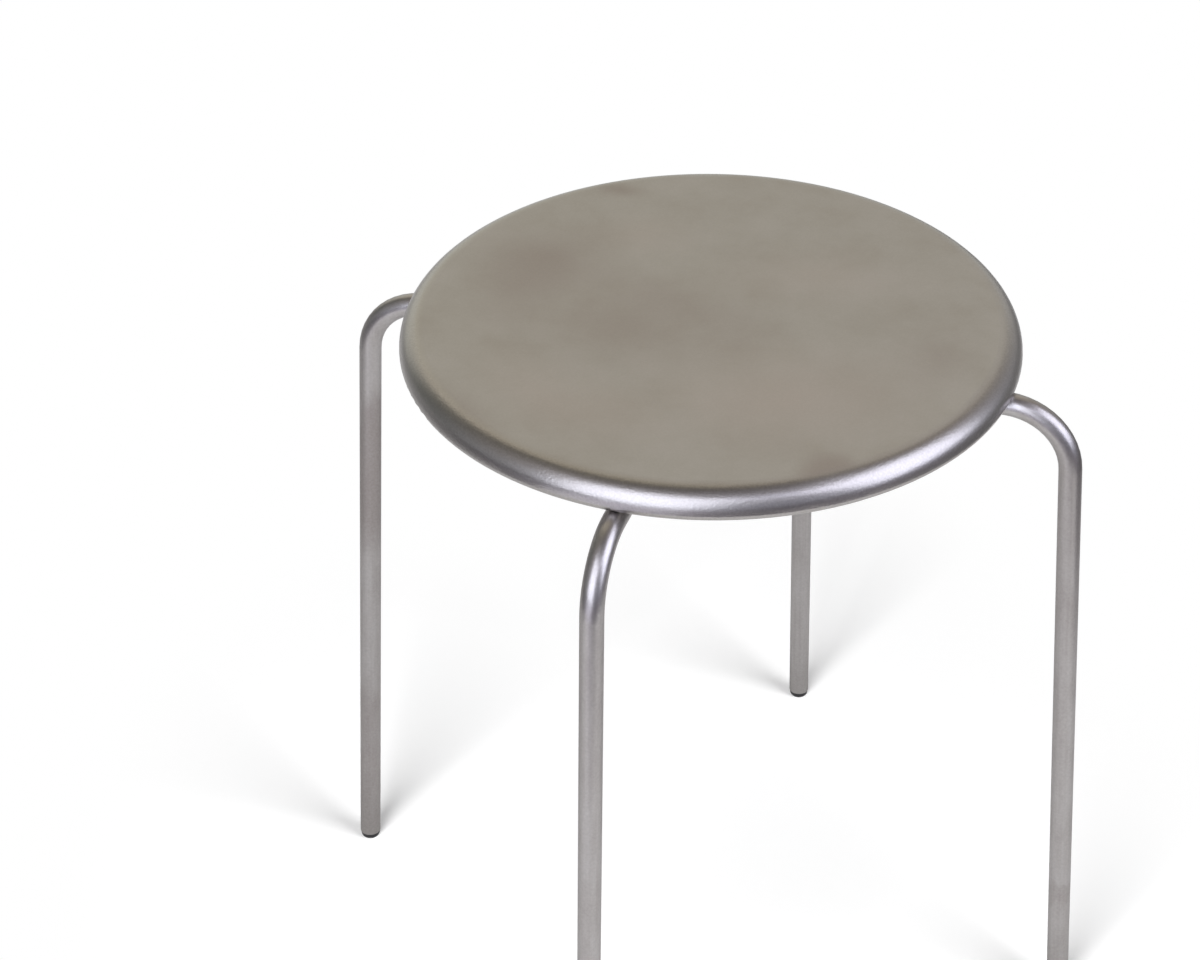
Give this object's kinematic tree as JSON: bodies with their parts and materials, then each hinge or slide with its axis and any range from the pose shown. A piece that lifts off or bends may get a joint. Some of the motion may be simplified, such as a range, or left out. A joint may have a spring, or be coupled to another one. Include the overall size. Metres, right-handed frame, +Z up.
{
  "type": "stool",
  "caption": "Round stacking stool with a flat sheet-steel seat, a rolled rim and bent tube legs that splay outside the seat and stand on plastic glides.",
  "frame": {"origin": "on the floor, under the middle of the seat", "axes": "+Z up, +X towards the right leg, +Y towards the back leg"},
  "size_m": [0.4888, 0.4888, 0.46],
  "materials": {
    "seat_steel": "satin, fine rubbed",
    "underside_steel": "mill finish",
    "core_board": "sanded birch plywood",
    "tube_steel": "satin, belt polished",
    "weld_steel": "brushed weld bead",
    "spacer_plastic": "moulded, fine matt",
    "fastener_steel": "plain",
    "insert_brass": "turned",
    "glide_plastic": "moulded, satin"
  },
  "bodies": {
    "root": {"base_disc": "underside_steel", "glide_back": "glide_plastic", "glide_front": "glide_plastic", "glide_left": "glide_plastic", "glide_right": "glide_plastic", "insert_back": "insert_brass", "insert_front": "insert_brass", "insert_left": "insert_brass", "insert_right": "insert_brass", "leg_back": "tube_steel", "leg_front": "tube_steel", "leg_loop": "tube_steel", "screw_back": "fastener_steel", "screw_front": "fastener_steel", "screw_left": "fastener_steel", "screw_right": "fastener_steel", "seat_core": "core_board", "seat_pan": "seat_steel", "spacer_back": "spacer_plastic", "spacer_front": "spacer_plastic", "spacer_left": "spacer_plastic", "spacer_right": "spacer_plastic", "washer_back": "fastener_steel", "washer_front": "fastener_steel", "washer_left": "fastener_steel", "washer_right": "fastener_steel", "weld_back": "weld_steel", "weld_front": "weld_steel"}
  },
  "joints": []
}
